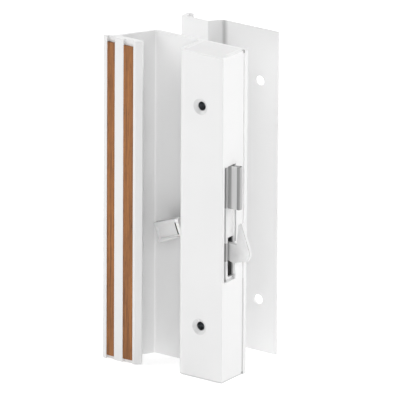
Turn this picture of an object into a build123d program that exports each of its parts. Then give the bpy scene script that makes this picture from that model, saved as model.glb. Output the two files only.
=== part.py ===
"""Surface-mounted latch handle set for a sliding patio door.

The set has an interior pull with a hook latch in a housing, and an exterior finger pull.
Frame: the origin is the midpoint between the two door screws, on the interior face of the
door. X runs towards the hook, Y through the door to the outside, and Z up. Millimetres.
A depth is a distance in front of the interior face of the door, so it is minus Y.
"""

import os
from math import acos, atan2, cos, radians, sin, sqrt, tan

from build123d import *

os.makedirs("parts", exist_ok=True)

# Overall sizes
overall_height = 248.0
screw_spacing = 168.3
door_thickness = 45.0

# Screw holes
plate_hole_diameter = 5.6
cover_hole_diameter = 6.6
countersink_diameter = 12.2
countersink_angle = 110.0
exterior_hole_diameter = 7.4
post_wall = 1.8

# Housing cover
housing_width = 40.0
housing_depth = 29.8
cover_wall = 2.4
cover_left_radius = 6.0
cover_right_radius = 0.6
shadow_groove_width = 1.0
shadow_groove_depth = 1.2
window_top_margin = 0.6
window_bottom_margin = 2.1
window_front_margin = 2.8
window_width = 14.1
window_corner_radius = 0.8

# Extruded pull: back plate, inner flanges, slanted web and head
plate_thickness = 3.2
plate_lip = 0.8
flange_thickness = 2.3
slide_clearance = 0.1
right_flange_gap = 6.0
web_run = 14.4
web_thickness = 2.6
web_foot_radius = 2.5
web_head_radius = 1.6
head_left = 83.0
head_width = 32.1
head_overhang = 10.2
head_thickness = 6.0
head_left_depth = 34.2
head_right_depth = 33.5
head_crown = 0.45
head_left_step = 2.7
head_left_step_drop = 2.0
head_left_edge = 0.8
head_right_bevel = 4.0
head_right_drop = 3.2
head_right_radius = 1.6
edge_radius = 0.5

# Wood strips let into the head
left_strip_start = 3.4
left_strip_width = 6.7
right_strip_start = 17.8
right_strip_width = 8.2
strip_thickness = 1.8
strip_undercut = 0.3
strip_clearance = 0.05
strip_top_gap = 4.6
strip_bottom_gap = 3.0

# End caps of the housing
cap_thickness = 3.0
cap_skirt = 5.0
cap_skirt_wall = 1.5
cap_clearance = 0.05

# Latch plate: hub, hook and lever arm
pivot_height = -12.0
latch_set_back = 14.8
latch_thickness = 3.0
hub_radius = 10.0
mouth_drop = 7.4
mouth_floor_width = 4.4
mouth_top_width = 5.9
finger_height = 17.0
finger_tip_rise = 1.5
finger_tip_run = 2.4
finger_shoulder_run = 3.3
finger_edge_radius = 0.9
finger_shoulder_radius = 3.0
hook_shoulder_drop = 3.6
hook_heel_reach = 14.6
hook_heel_drop = 1.2
hook_nose_reach = 15.5
hook_nose_drop = 6.6
hook_chin_reach = 13.4
hook_chin_drop = 11.4
hook_belly_reach = 0.5
hook_belly_drop = 15.2
hook_chin_radius = 3.0
hook_belly_radius = 10.0
lever_droop = 21.6
lever_travel = 28.0
arm_inset = 0.5
arm_bottom = 1.0
arm_reach = 16.5

# Thumb tab moulded over the lever arm
tab_wall_gap = 1.48
tab_length = 23.3
tab_root_bottom = -1.0
tab_root_top = 12.4
tab_tip_bottom = -2.2
tab_tip_top = 13.6
tab_skin = 2.2
tab_corner_radius = 1.2
tab_rim = 2.0
tab_pan_depth = 0.8
tab_ramp = 3.5
tab_collar = 2.9
tab_collar_rise = 0.5
tab_slit = 1.3
tab_slit_top = 9.9
tab_arm_clearance = 0.05

# Slots for the latch in the housing's side walls
slot_side_clearance = 0.95
hook_slot_rear_clearance = 3.9
hook_slot_top_clearance = 4.0
hook_slot_end_clearance = 2.0
lever_slot_end_clearance = 1.4

# Pivot
pin_diameter = 6.0
pin_stand = 1.8
pin_chamfer = 0.5
bore_clearance = 0.05
bush_diameter = 10.0
bush_stand = 0.6
axial_clearance = 0.2
spacer_diameter = 10.0
clip_thickness = 0.7
clip_diameter = 11.0
clip_groove_diameter = 4.6
clip_groove_play = 0.1
clip_mouth = 4.0

# Bracket that carries the pivot
bracket_thickness = 2.0
bracket_side_gap = 3.2
bracket_front_gap = 3.4
bracket_bend_radius = 2.8
bracket_rise = 17.0
bracket_rear_drop = 21.0
bracket_front_drop = 12.0
bracket_corner_cut = 3.0
bracket_rivet_drop = 15.5

# Detent spring over the hub
spring_thickness = 0.5
spring_width = 3.6
spring_root_gap = 0.5
spring_tail = 3.0
spring_slope = 48.0
spring_bump_radius = 0.6
spring_clearance = 0.1
notch_radius = 1.4
notch_depth = 0.25
spring_rivet_margin = 2.2
spring_rivet_diameter = 2.4
spring_rivet_head_diameter = 3.6

# Folded steel guide beside the hook, and its carrier
guide_rise = 19.4
guide_height = 32.5
guide_thickness = 4.7
guide_sheet = 1.2
guide_reach = 7.3
guide_root_overlap = 1.0
guide_nose_radius = 1.8
guide_slot_clearance = 0.12
guide_slot_end_clearance = 0.4
carrier_thickness = 2.0
carrier_base_width = 14.0
carrier_shelf_width = 7.2
carrier_bend_radius = 2.6
carrier_end_gap = 0.3
carrier_margin = 1.5

# Rivets
rivet_diameter = 3.4
rivet_head_diameter = 6.2
rivet_head_height = 1.2
guide_rivet_diameter = 3.0
guide_rivet_head_diameter = 5.4
guide_rivet_head_height = 0.9
rivet_spacing = 15.0
rivet_clearance = 0.03

# Exterior finger pull
exterior_thickness = 2.0
exterior_flange_right = 16.1
exterior_flange_left = 33.6
exterior_web_run = 6.2
exterior_set_back = 8.5
exterior_panel_width = 24.8
exterior_lip_height = 10.0
exterior_lip_return = 5.2
exterior_bend_radius = 1.0
exterior_panel_radius = 1.2
exterior_lip_radius = 2.4

# Derived places
half_height = overall_height / 2
half_spacing = screw_spacing / 2
side_x = housing_width / 2
inner_x = side_x - cover_wall
inner_depth = housing_depth - cover_wall
flange_outer_x = inner_x - slide_clearance
flange_inner_x = flange_outer_x - flange_thickness
right_flange_depth = inner_depth - right_flange_gap
cover_left_inner_radius = cover_left_radius - cover_wall
left_flange_depth = inner_depth - slide_clearance - cover_left_inner_radius
latch_rear_depth = housing_depth - latch_set_back
latch_front_depth = latch_rear_depth + latch_thickness
latch_mid_depth = latch_rear_depth + latch_thickness / 2
bracket_width = 2 * (flange_inner_x - bracket_side_gap)
bracket_top = pivot_height + bracket_rise
bracket_front_depth = inner_depth - bracket_front_gap
bracket_front_inner = bracket_front_depth - bracket_thickness
bracket_rear_face = plate_thickness + bracket_thickness
pin_front_depth = bracket_front_depth + pin_stand
carrier_step = flange_inner_x - carrier_shelf_width
guide_bottom = pivot_height + guide_rise
mouth_floor = pivot_height - mouth_drop
bore_diameter = pin_diameter + 2 * bore_clearance
hook_slot_rear = latch_rear_depth - hook_slot_rear_clearance
hook_slot_front = latch_front_depth + slot_side_clearance
lever_slot_width = latch_thickness + 2 * slot_side_clearance
head_rear_depth = head_left_depth - head_thickness
head_right = head_left - head_width
web_head = head_left - head_overhang
web_foot = web_head - web_run
droop = radians(lever_droop)
lift = radians(lever_travel - lever_droop)
arm_top = hub_radius - arm_inset
tab_root = (side_x + tab_wall_gap - tab_root_bottom * sin(droop)) / cos(droop)
tab_tip = tab_root + tab_length
arm_length = tab_root + arm_reach
tab_thickness = latch_thickness + tab_arm_clearance + tab_skin
screw_places = [(0, half_spacing), (0, -half_spacing)]
end_plane = Plane.XY.offset(-half_height)


def room_plane(depth):
    """Plane parallel to the door, facing the room: x is X and y is Z."""
    return Plane.XZ.offset(depth)


def lever_plane(depth):
    """Plane like room_plane, with its origin at the pivot and its x along the lever arm."""
    return Plane(
        origin=(0, -depth, pivot_height),
        x_dir=(cos(droop), 0, sin(droop)),
        z_dir=(0, -1, 0),
    )


def lever_section_plane(rise):
    """Plane along the lever arm, square to the door, a given rise above the pivot line."""
    return Plane(
        origin=(-rise * sin(droop), 0, pivot_height + rise * cos(droop)),
        x_dir=(cos(droop), 0, sin(droop)),
        z_dir=(-sin(droop), 0, cos(droop)),
    )


def corner_near(context, x, y):
    """The corner of a sketch that lies nearest to a point."""
    return context.vertices().sort_by_distance((x, y))[0]


def turned(point, angle):
    """A point of the latch, seen from the room, after the latch has turned by an angle."""
    reach = point[0]
    rise = point[1] - pivot_height
    return (
        reach * cos(angle) + rise * sin(angle),
        pivot_height + rise * cos(angle) - reach * sin(angle),
    )


# Slots that the latch passes through, from its lowest and highest places over the travel

hook_chin = (side_x + hook_chin_reach, mouth_floor - hook_chin_drop)
hook_belly = (side_x + hook_belly_reach, mouth_floor - hook_belly_drop)
open_chin = turned(hook_chin, radians(lever_travel))
open_belly = turned(hook_belly, radians(lever_travel))
open_slope = (open_chin[1] - open_belly[1]) / (open_chin[0] - open_belly[0])
open_bottom = open_belly[1] + open_slope * (flange_outer_x - open_belly[0])
hook_slot_top = mouth_floor + hook_slot_top_clearance
hook_slot_bottom = open_bottom - hook_slot_end_clearance
lowest_reach = (side_x - arm_bottom * sin(droop)) / cos(droop)
lowest_arm = pivot_height - lowest_reach * sin(droop) + arm_bottom * cos(droop)
highest_reach = (side_x + arm_top * sin(lift)) / cos(lift)
highest_arm = pivot_height + highest_reach * sin(lift) + arm_top * cos(lift)
lever_slot_bottom = lowest_arm - lever_slot_end_clearance
lever_slot_top = highest_arm + lever_slot_end_clearance
window_top = guide_bottom + guide_height + window_top_margin
window_bottom = hook_slot_bottom - window_bottom_margin

# Section of the extruded pull

web_angle = atan2(head_rear_depth - plate_thickness, web_head - web_foot)
web_rear_shift = web_thickness / sin(web_angle)
web_rear_foot = web_foot + web_rear_shift - plate_thickness / tan(web_angle)
web_rear_head = web_head + web_rear_shift
head_face_depth = (head_left_depth + head_right_depth) / 2 + head_crown
head_face_middle = (head_left + head_right + head_right_bevel) / 2
right_face_end = head_right + head_right_bevel


def head_face():
    """The crowned face of the head, from its left edge to its right bevel."""
    ThreePointArc(
        (-head_left, -head_left_depth),
        (-head_face_middle, -head_face_depth),
        (-right_face_end, -head_right_depth),
    )


def strip_section(start, width, clearance, mode):
    """Dovetail of a wood strip, or of its groove in the head."""
    left = -head_left + start + clearance
    right = -head_left + start + width - clearance
    floor = -(head_face_depth - strip_thickness + clearance)
    mouth = -(head_face_depth - head_crown)
    beyond = -(head_face_depth + 1)
    Polygon(
        (left - strip_undercut, floor),
        (right + strip_undercut, floor),
        (right, mouth),
        (right, beyond),
        (left, beyond),
        (left, mouth),
        mode=mode,
    )


with BuildPart() as pull_extrusion:
    with BuildSketch(end_plane) as section:
        with BuildLine():
            head_face()
            Polyline(
                (-right_face_end, -head_right_depth),
                (-head_right, -head_right_depth + head_right_drop),
                (-head_right - edge_radius, -head_rear_depth),
                (-web_head, -head_rear_depth),
                (-web_foot, -plate_thickness),
                (-flange_outer_x, -plate_thickness),
                (-flange_outer_x, -left_flange_depth),
                (-flange_inner_x, -left_flange_depth),
                (-flange_inner_x, -plate_thickness),
                (flange_inner_x, -plate_thickness),
                (flange_inner_x, -right_flange_depth),
                (flange_outer_x, -right_flange_depth),
                (flange_outer_x, -plate_thickness),
                (side_x + plate_lip, -plate_thickness),
                (side_x + plate_lip, 0),
                (-web_rear_foot, 0),
                (-web_rear_head, -head_rear_depth),
                (-web_rear_head - head_left_step, -head_rear_depth - head_left_step_drop),
                (-head_left, -head_left_depth + head_left_edge),
                (-head_left, -head_left_depth),
            )
        make_face()
        strip_section(left_strip_start, left_strip_width, 0, Mode.SUBTRACT)
        strip_section(right_strip_start, right_strip_width, 0, Mode.SUBTRACT)
        fillet(corner_near(section, -web_foot, -plate_thickness), web_foot_radius)
        fillet(corner_near(section, -web_head, -head_rear_depth), web_head_radius)
        fillet(corner_near(section, -web_rear_foot, 0), web_head_radius)
        fillet(corner_near(section, -right_face_end, -head_right_depth), head_right_radius)
        fillet(corner_near(section, -head_right, -head_right_depth + head_right_drop), edge_radius)
        fillet(corner_near(section, side_x + plate_lip, -plate_thickness), edge_radius / 2)
        fillet(corner_near(section, side_x + plate_lip, 0), edge_radius / 2)
    extrude(amount=overall_height)
    # Screw holes in the back plate
    with BuildSketch(room_plane(0)):
        with Locations(*screw_places):
            Circle(plate_hole_diameter / 2)
    extrude(amount=plate_thickness, mode=Mode.SUBTRACT)
    # Slots for the hook and the guide in the right flange, and for the lever in the left
    with BuildSketch(Plane.YZ.offset(flange_inner_x)):
        with Locations((-hook_slot_rear, hook_slot_bottom)):
            Rectangle(
                hook_slot_front - hook_slot_rear,
                hook_slot_top - hook_slot_bottom,
                align=(Align.MAX, Align.MIN),
            )
        with Locations((-latch_mid_depth, guide_bottom + guide_height / 2)):
            Rectangle(
                guide_thickness + 2 * guide_slot_clearance,
                guide_height + 2 * guide_slot_end_clearance,
            )
    extrude(amount=flange_thickness, mode=Mode.SUBTRACT)
    with BuildSketch(Plane.YZ.offset(-flange_outer_x)):
        with Locations((-latch_mid_depth, (lever_slot_top + lever_slot_bottom) / 2)):
            Rectangle(lever_slot_width, lever_slot_top - lever_slot_bottom)
    extrude(amount=flange_thickness, mode=Mode.SUBTRACT)
    # Holes for the rivets of the bracket and of the guide's carrier
    bracket_rivet_rise = (spacer_diameter / 2 + bracket_rise - bracket_bend_radius) / 2
    bracket_rivet_places = [
        (0, pivot_height + bracket_rivet_rise),
        (0, pivot_height - bracket_rivet_drop),
    ]
    guide_middle = guide_bottom + guide_height / 2
    guide_rivet_heights = [guide_middle + rivet_spacing / 2, guide_middle - rivet_spacing / 2]
    carrier_rivet_places = [(0, height) for height in guide_rivet_heights]
    with BuildSketch(room_plane(0)):
        with Locations(*bracket_rivet_places, *carrier_rivet_places):
            Circle(rivet_diameter / 2 + rivet_clearance)
    extrude(amount=plate_thickness, mode=Mode.SUBTRACT)
pull_extrusion.part.label = "pull_extrusion"
export_step(pull_extrusion.part, "parts/pull_extrusion.step")

# Wood strips, flush with the crowned face and short of both ends

strips = {
    "wood_strip_left": (left_strip_start, left_strip_width),
    "wood_strip_right": (right_strip_start, right_strip_width),
}
for strip_name, (strip_start, strip_width) in strips.items():
    with BuildPart() as wood_strip:
        with BuildSketch(end_plane.offset(strip_bottom_gap)):
            strip_section(strip_start, strip_width, strip_clearance, Mode.ADD)
            with BuildLine(mode=Mode.PRIVATE) as face_zone:
                head_face()
                Polyline(
                    (-right_face_end, -head_right_depth),
                    (-right_face_end, -head_rear_depth),
                    (-head_left - strip_undercut, -head_rear_depth),
                    (-head_left, -head_left_depth),
                )
            make_face(face_zone.edges(), mode=Mode.INTERSECT)
        extrude(amount=overall_height - strip_top_gap - strip_bottom_gap)
    wood_strip.part.label = strip_name
    export_step(wood_strip.part, f"parts/{strip_name}.step")

# Housing cover: a channel that slides over the flanges of the extrusion

with BuildPart() as housing_cover:
    with BuildSketch(end_plane) as channel:
        with Locations((0, -(housing_depth + plate_thickness) / 2)):
            Rectangle(housing_width, housing_depth - plate_thickness)
        fillet(corner_near(channel, -side_x, -housing_depth), cover_left_radius)
        fillet(corner_near(channel, side_x, -housing_depth), cover_right_radius)
        with BuildSketch(mode=Mode.SUBTRACT) as channel_inside:
            with Locations((0, -(inner_depth + plate_thickness) / 2)):
                Rectangle(2 * inner_x, inner_depth - plate_thickness)
            fillet(corner_near(channel_inside, -inner_x, -inner_depth), cover_left_inner_radius)
        # Shadow groove where the right wall meets the back plate
        with Locations((side_x, -plate_thickness)):
            Rectangle(
                shadow_groove_depth,
                shadow_groove_width,
                align=(Align.MAX, Align.MAX),
                mode=Mode.SUBTRACT,
            )
    extrude(amount=overall_height)
    # Countersunk holes for the door screws
    with Locations(room_plane(housing_depth)):
        with Locations(*screw_places):
            CounterSinkHole(
                cover_hole_diameter / 2,
                countersink_diameter / 2,
                depth=cover_wall + 1,
                counter_sink_angle=countersink_angle,
            )
    # Window in the right wall, round the hook and the guide
    window_mid_depth = housing_depth - window_front_margin - window_width / 2
    with BuildSketch(Plane.YZ.offset(inner_x)) as window:
        with Locations((-window_mid_depth, (window_top + window_bottom) / 2)):
            Rectangle(window_width, window_top - window_bottom)
        fillet(window.vertices(), window_corner_radius)
    extrude(amount=cover_wall, mode=Mode.SUBTRACT)
    # Slot in the left wall for the lever arm
    with BuildSketch(Plane.YZ.offset(-side_x)):
        with Locations((-latch_mid_depth, (lever_slot_top + lever_slot_bottom) / 2)):
            Rectangle(lever_slot_width, lever_slot_top - lever_slot_bottom)
    extrude(amount=cover_wall, mode=Mode.SUBTRACT)
housing_cover.part.label = "housing_cover"
export_step(housing_cover.part, "parts/housing_cover.step")

# End caps pressed between the flanges, flush with the ends of the housing

cap_clear_x = flange_inner_x - cap_clearance
cap_depth = inner_depth - plate_thickness - 2 * cap_clearance
cap_centre = (0, -(inner_depth + plate_thickness) / 2)
caps = {
    "top_end_cap": (Plane.XY.offset(half_height), -1),
    "bottom_end_cap": (Plane.XY.offset(-half_height), 1),
}
for cap_name, (cap_plane, inwards) in caps.items():
    with BuildPart() as end_cap:
        with BuildSketch(cap_plane) as cap_outline:
            with Locations(cap_centre):
                Rectangle(2 * (inner_x - cap_clearance), cap_depth)
            fillet(
                corner_near(cap_outline, -inner_x, -inner_depth),
                cover_left_inner_radius - cap_clearance,
            )
            with Locations((cap_clear_x, -plate_thickness)):
                Rectangle(
                    cover_wall + flange_thickness,
                    right_flange_depth + cap_clearance - plate_thickness,
                    align=(Align.MIN, Align.MAX),
                    mode=Mode.SUBTRACT,
                )
            with Locations((-cap_clear_x, -plate_thickness)):
                Rectangle(
                    cover_wall + flange_thickness,
                    left_flange_depth + cap_clearance - plate_thickness,
                    align=(Align.MAX, Align.MAX),
                    mode=Mode.SUBTRACT,
                )
        extrude(amount=inwards * (cap_thickness + cap_skirt))
        with BuildSketch(cap_plane.offset(inwards * cap_thickness)):
            with Locations(cap_centre):
                Rectangle(2 * (cap_clear_x - cap_skirt_wall), cap_depth - 2 * cap_skirt_wall)
        extrude(amount=inwards * cap_skirt, mode=Mode.SUBTRACT)
    end_cap.part.label = cap_name
    export_step(end_cap.part, f"parts/{cap_name}.step")

# Posts that carry the clamping load of the door screws through the housing

for post_name, (post_x, post_z) in zip(("screw_post_upper", "screw_post_lower"), screw_places):
    with BuildPart() as screw_post:
        with BuildSketch(room_plane(plate_thickness)):
            with Locations((post_x, post_z)):
                Circle(cover_hole_diameter / 2 + post_wall)
                Circle(cover_hole_diameter / 2, mode=Mode.SUBTRACT)
        extrude(amount=inner_depth - plate_thickness)
    screw_post.part.label = post_name
    export_step(screw_post.part, f"parts/{post_name}.step")

# Latch plate: one steel stamping with the hook on the right and the lever arm on the left

mouth_corner = (side_x + mouth_floor_width, mouth_floor)
finger_inner = (side_x + mouth_top_width, mouth_floor + finger_height - finger_tip_rise)
finger_tip = (side_x + mouth_top_width + finger_tip_run, mouth_floor + finger_height)
finger_shoulder = (
    side_x + mouth_top_width + finger_shoulder_run,
    mouth_floor + finger_height - hook_shoulder_drop,
)
hook_heel = (side_x + hook_heel_reach, mouth_floor - hook_heel_drop)
hook_nose = (side_x + hook_nose_reach, mouth_floor - hook_nose_drop)
belly_reach = sqrt(hook_belly[0] ** 2 + (hook_belly[1] - pivot_height) ** 2)
tangent_angle = atan2(hook_belly[1] - pivot_height, hook_belly[0]) - acos(hub_radius / belly_reach)
hub_tangent = (hub_radius * cos(tangent_angle), pivot_height + hub_radius * sin(tangent_angle))

# The spring's bump sits over the top of the hub, at rest and at full travel
notch_angles = [90, 90 + lever_travel]
notch_reach = hub_radius - notch_depth + notch_radius

with BuildPart() as latch_plate:
    with BuildSketch(room_plane(latch_rear_depth)) as stamping:
        with BuildLine():
            Polyline((0, pivot_height), (0, mouth_floor), mouth_corner, finger_inner)
            Line(finger_inner, finger_tip)
            Line(finger_tip, finger_shoulder)
            Line(finger_shoulder, hook_heel)
            ThreePointArc(hook_heel, hook_nose, hook_chin)
            Line(hook_chin, hook_belly)
            Line(hook_belly, hub_tangent)
            Line(hub_tangent, (0, pivot_height))
        make_face()
        with Locations((0, pivot_height)):
            Circle(hub_radius)
        with Locations(Location((0, pivot_height, 0), (0, 0, lever_droop))):
            with Locations((-arm_length / 2, (arm_top + arm_bottom) / 2)):
                Rectangle(arm_length, arm_top - arm_bottom)
        fillet(corner_near(stamping, *finger_inner), finger_edge_radius)
        fillet(corner_near(stamping, *finger_shoulder), finger_shoulder_radius)
        fillet(corner_near(stamping, *finger_tip), finger_edge_radius)
        fillet(corner_near(stamping, *hook_chin), hook_chin_radius)
        fillet(corner_near(stamping, *hook_belly), hook_belly_radius)
        for notch_angle in notch_angles:
            notch_direction = radians(notch_angle)
            notch_x = notch_reach * cos(notch_direction)
            notch_z = pivot_height + notch_reach * sin(notch_direction)
            with Locations((notch_x, notch_z)):
                Circle(notch_radius, mode=Mode.SUBTRACT)
        with Locations((0, pivot_height)):
            Circle(bush_diameter / 2, mode=Mode.SUBTRACT)
    extrude(amount=latch_thickness)
latch_plate.part.label = "latch_plate"
export_step(latch_plate.part, "parts/latch_plate.step")

# Thumb tab: a dished pad with a raised rim, a collar and a slit at its root

tab_front_depth = latch_rear_depth + tab_thickness
with BuildPart() as thumb_tab:
    with BuildSketch(lever_plane(latch_rear_depth)) as tab_outline:
        Polygon(
            (-tab_root, tab_root_bottom),
            (-tab_root, tab_root_top),
            (-tab_tip, tab_tip_top),
            (-tab_tip, tab_tip_bottom),
        )
        fillet(corner_near(tab_outline, -tab_tip, tab_tip_top), tab_corner_radius)
        fillet(corner_near(tab_outline, -tab_tip, tab_tip_bottom), tab_corner_radius)
    extrude(amount=tab_thickness)
    fillet(thumb_tab.faces().sort_by(Axis.Y)[0].edges(), edge_radius)
    # Dished pad that ramps up to the collar
    pan_left = -(tab_tip - tab_rim)
    pan_right = -(tab_root + tab_collar + tab_slit / 2)
    with BuildSketch(lever_section_plane(tab_root_bottom + tab_rim)):
        Polygon(
            (pan_left, -tab_front_depth),
            (pan_left + tab_pan_depth, -tab_front_depth + tab_pan_depth),
            (pan_right - tab_ramp, -tab_front_depth + tab_pan_depth),
            (pan_right, -tab_front_depth),
        )
    extrude(amount=tab_root_top - tab_root_bottom - 2 * tab_rim, mode=Mode.SUBTRACT)
    # Raised collar beside the housing
    collar_right = tab_root + tab_collar
    with BuildSketch(lever_section_plane(tab_root_bottom + edge_radius)):
        Polygon(
            (-collar_right, -tab_front_depth + edge_radius),
            (-collar_right, -tab_front_depth - tab_collar_rise / 2),
            (-collar_right + tab_collar_rise, -tab_front_depth - tab_collar_rise),
            (-tab_root - tab_collar_rise, -tab_front_depth - tab_collar_rise),
            (-tab_root, -tab_front_depth),
            (-tab_root, -tab_front_depth + edge_radius),
        )
    extrude(amount=tab_slit_top - tab_root_bottom - edge_radius)
    # Slit between the pad and the collar
    with BuildSketch(lever_plane(latch_front_depth)):
        with Locations((-collar_right, tab_slit_top)):
            Rectangle(tab_slit, tab_slit_top - arm_bottom, align=(Align.MAX, Align.MAX))
    extrude(amount=tab_thickness, mode=Mode.SUBTRACT)
    # Pocket at the back for the steel arm
    with BuildSketch(lever_plane(latch_rear_depth)):
        with Locations((-arm_length - tab_arm_clearance, (arm_top + arm_bottom) / 2)):
            Rectangle(
                arm_length,
                arm_top - arm_bottom + 2 * tab_arm_clearance,
                align=(Align.MIN, Align.CENTER),
            )
    extrude(amount=latch_thickness + tab_arm_clearance, mode=Mode.SUBTRACT)
thumb_tab.part.label = "thumb_tab"
export_step(thumb_tab.part, "parts/thumb_tab.step")

# Pivot: bush in the hub, pin, spacers and retaining clip

pivot_place = (0, pivot_height)
bush_rear_depth = latch_rear_depth - bush_stand
bush_front_depth = latch_front_depth + bush_stand

with BuildPart() as hub_bush:
    with BuildSketch(room_plane(bush_rear_depth)):
        with Locations(pivot_place):
            Circle(bush_diameter / 2)
            Circle(bore_diameter / 2, mode=Mode.SUBTRACT)
    extrude(amount=bush_front_depth - bush_rear_depth)
hub_bush.part.label = "hub_bush"
export_step(hub_bush.part, "parts/hub_bush.step")

with BuildPart() as pivot_pin:
    with BuildSketch(room_plane(plate_thickness)):
        with Locations(pivot_place):
            Circle(pin_diameter / 2)
    extrude(amount=pin_front_depth - plate_thickness)
    chamfer(pivot_pin.faces().sort_by(Axis.Y)[0].edges(), pin_chamfer)
    with BuildSketch(room_plane(bracket_front_depth)):
        with Locations(pivot_place):
            Circle(pin_diameter / 2)
            Circle(clip_groove_diameter / 2, mode=Mode.SUBTRACT)
    extrude(amount=clip_thickness + 2 * clip_groove_play, mode=Mode.SUBTRACT)
pivot_pin.part.label = "pivot_pin"
export_step(pivot_pin.part, "parts/pivot_pin.step")

spacers = {
    "rear_spacer": (bracket_rear_face, bush_rear_depth - axial_clearance),
    "front_spacer": (bush_front_depth + axial_clearance, bracket_front_inner),
}
for spacer_name, (spacer_start, spacer_end) in spacers.items():
    with BuildPart() as spacer:
        with BuildSketch(room_plane(spacer_start)):
            with Locations(pivot_place):
                Circle(spacer_diameter / 2)
                Circle(bore_diameter / 2, mode=Mode.SUBTRACT)
        extrude(amount=spacer_end - spacer_start)
    spacer.part.label = spacer_name
    export_step(spacer.part, f"parts/{spacer_name}.step")

with BuildPart() as retaining_clip:
    with BuildSketch(room_plane(bracket_front_depth + clip_groove_play)):
        with Locations(pivot_place):
            Circle(clip_diameter / 2)
            Circle(clip_groove_diameter / 2 + bore_clearance, mode=Mode.SUBTRACT)
            Rectangle(
                clip_mouth,
                clip_diameter,
                align=(Align.CENTER, Align.MAX),
                mode=Mode.SUBTRACT,
            )
    extrude(amount=clip_thickness)
retaining_clip.part.label = "retaining_clip"
export_step(retaining_clip.part, "parts/retaining_clip.step")

# Bracket bent from sheet, riveted to the back plate

spring_root = bracket_width / 2 - spring_root_gap
spring_rivet_offset = spring_root - spring_rivet_margin
with BuildPart() as pivot_bracket:
    with BuildSketch(Plane.YZ.offset(-bracket_width / 2)):
        with BuildLine():
            FilletPolyline(
                (-plate_thickness, pivot_height - bracket_rear_drop),
                (-plate_thickness, bracket_top),
                (-bracket_front_depth, bracket_top),
                (-bracket_front_depth, pivot_height - bracket_front_drop),
                radius=bracket_bend_radius,
            )
            offset(amount=bracket_thickness, side=Side.LEFT)
        make_face()
    extrude(amount=bracket_width)
    lower_corners = pivot_bracket.edges().filter_by(Axis.Y).group_by(Axis.Z)
    chamfer(lower_corners[0] + lower_corners[1], bracket_corner_cut)
    with BuildSketch(room_plane(plate_thickness)):
        with Locations(pivot_place):
            Circle(pin_diameter / 2)
        with Locations(*bracket_rivet_places):
            Circle(rivet_diameter / 2 + rivet_clearance)
    extrude(amount=bracket_thickness, mode=Mode.SUBTRACT)
    with BuildSketch(room_plane(bracket_front_inner)):
        with Locations(pivot_place):
            Circle(bore_diameter / 2)
    extrude(amount=bracket_thickness, mode=Mode.SUBTRACT)
    with BuildSketch(Plane.XY.offset(bracket_top - bracket_thickness)):
        with Locations((spring_rivet_offset, -latch_mid_depth)):
            Circle(spring_rivet_diameter / 2 + rivet_clearance)
    extrude(amount=bracket_thickness, mode=Mode.SUBTRACT)
pivot_bracket.part.label = "pivot_bracket"
export_step(pivot_bracket.part, "parts/pivot_bracket.step")

# Detent spring: a leaf under the bracket's top, with a bump over the hub

spring_top = bracket_top - bracket_thickness
bump_rise = spring_bump_radius * (1 / cos(radians(spring_slope)) - 1)
bump_bottom = pivot_height + hub_radius + spring_clearance
bump_corner = bump_bottom + spring_thickness - bump_rise
bump_half_width = (spring_top - bump_corner) / tan(radians(spring_slope))
with BuildPart() as detent_spring:
    with BuildSketch(room_plane(latch_mid_depth - spring_width / 2)):
        with BuildLine():
            FilletPolyline(
                (spring_root, spring_top),
                (bump_half_width, spring_top),
                (0, bump_corner),
                (-bump_half_width, spring_top),
                (-bump_half_width - spring_tail, spring_top),
                radius=spring_bump_radius,
            )
            offset(amount=spring_thickness, side=Side.LEFT)
        make_face()
    extrude(amount=spring_width)
    with BuildSketch(Plane.XY.offset(spring_top)):
        with Locations((spring_rivet_offset, -latch_mid_depth)):
            Circle(spring_rivet_diameter / 2 + rivet_clearance)
    extrude(amount=-spring_thickness, mode=Mode.SUBTRACT)
detent_spring.part.label = "detent_spring"
export_step(detent_spring.part, "parts/detent_spring.step")

# Folded guide: a U of bright sheet whose round nose stands out beside the hook

guide_half = guide_thickness / 2
guide_rear_depth = latch_mid_depth - guide_half
guide_front_depth = latch_mid_depth + guide_half
guide_nose = side_x + guide_reach
guide_root = carrier_step - guide_root_overlap
guide_rivet_x = (carrier_step + flange_inner_x) / 2
guide_rivet_places = [(guide_rivet_x, height) for height in guide_rivet_heights]
with BuildPart() as keeper_guide:
    with BuildSketch(Plane.XY.offset(guide_bottom)):
        with BuildLine():
            FilletPolyline(
                (guide_root, -guide_front_depth),
                (guide_nose, -guide_front_depth),
                (guide_nose, -guide_rear_depth),
                (guide_root, -guide_rear_depth),
                radius=guide_nose_radius,
            )
            offset(amount=guide_sheet, side=Side.LEFT)
        make_face()
    extrude(amount=guide_height)
    with BuildSketch(room_plane(guide_rear_depth)):
        with Locations(*guide_rivet_places):
            Circle(guide_rivet_diameter / 2 + rivet_clearance)
    extrude(amount=guide_sheet, mode=Mode.SUBTRACT)
keeper_guide.part.label = "keeper_guide"
export_step(keeper_guide.part, "parts/keeper_guide.step")

carrier_shelf_depth = guide_rear_depth - carrier_thickness
with BuildPart() as guide_carrier:
    with BuildSketch(Plane.XY.offset(guide_bottom + carrier_margin)):
        with BuildLine():
            FilletPolyline(
                (carrier_step - carrier_base_width, -plate_thickness),
                (carrier_step, -plate_thickness),
                (carrier_step, -carrier_shelf_depth),
                (flange_inner_x - carrier_end_gap, -carrier_shelf_depth),
                radius=(carrier_bend_radius, carrier_bend_radius - carrier_thickness),
            )
            offset(amount=carrier_thickness, side=Side.RIGHT)
        make_face()
    extrude(amount=guide_height - 2 * carrier_margin)
    with BuildSketch(room_plane(plate_thickness)):
        with Locations(*carrier_rivet_places):
            Circle(rivet_diameter / 2 + rivet_clearance)
    extrude(amount=carrier_thickness, mode=Mode.SUBTRACT)
    with BuildSketch(room_plane(carrier_shelf_depth)):
        with Locations(*guide_rivet_places):
            Circle(guide_rivet_diameter / 2 + rivet_clearance)
    extrude(amount=carrier_thickness, mode=Mode.SUBTRACT)
guide_carrier.part.label = "guide_carrier"
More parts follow.
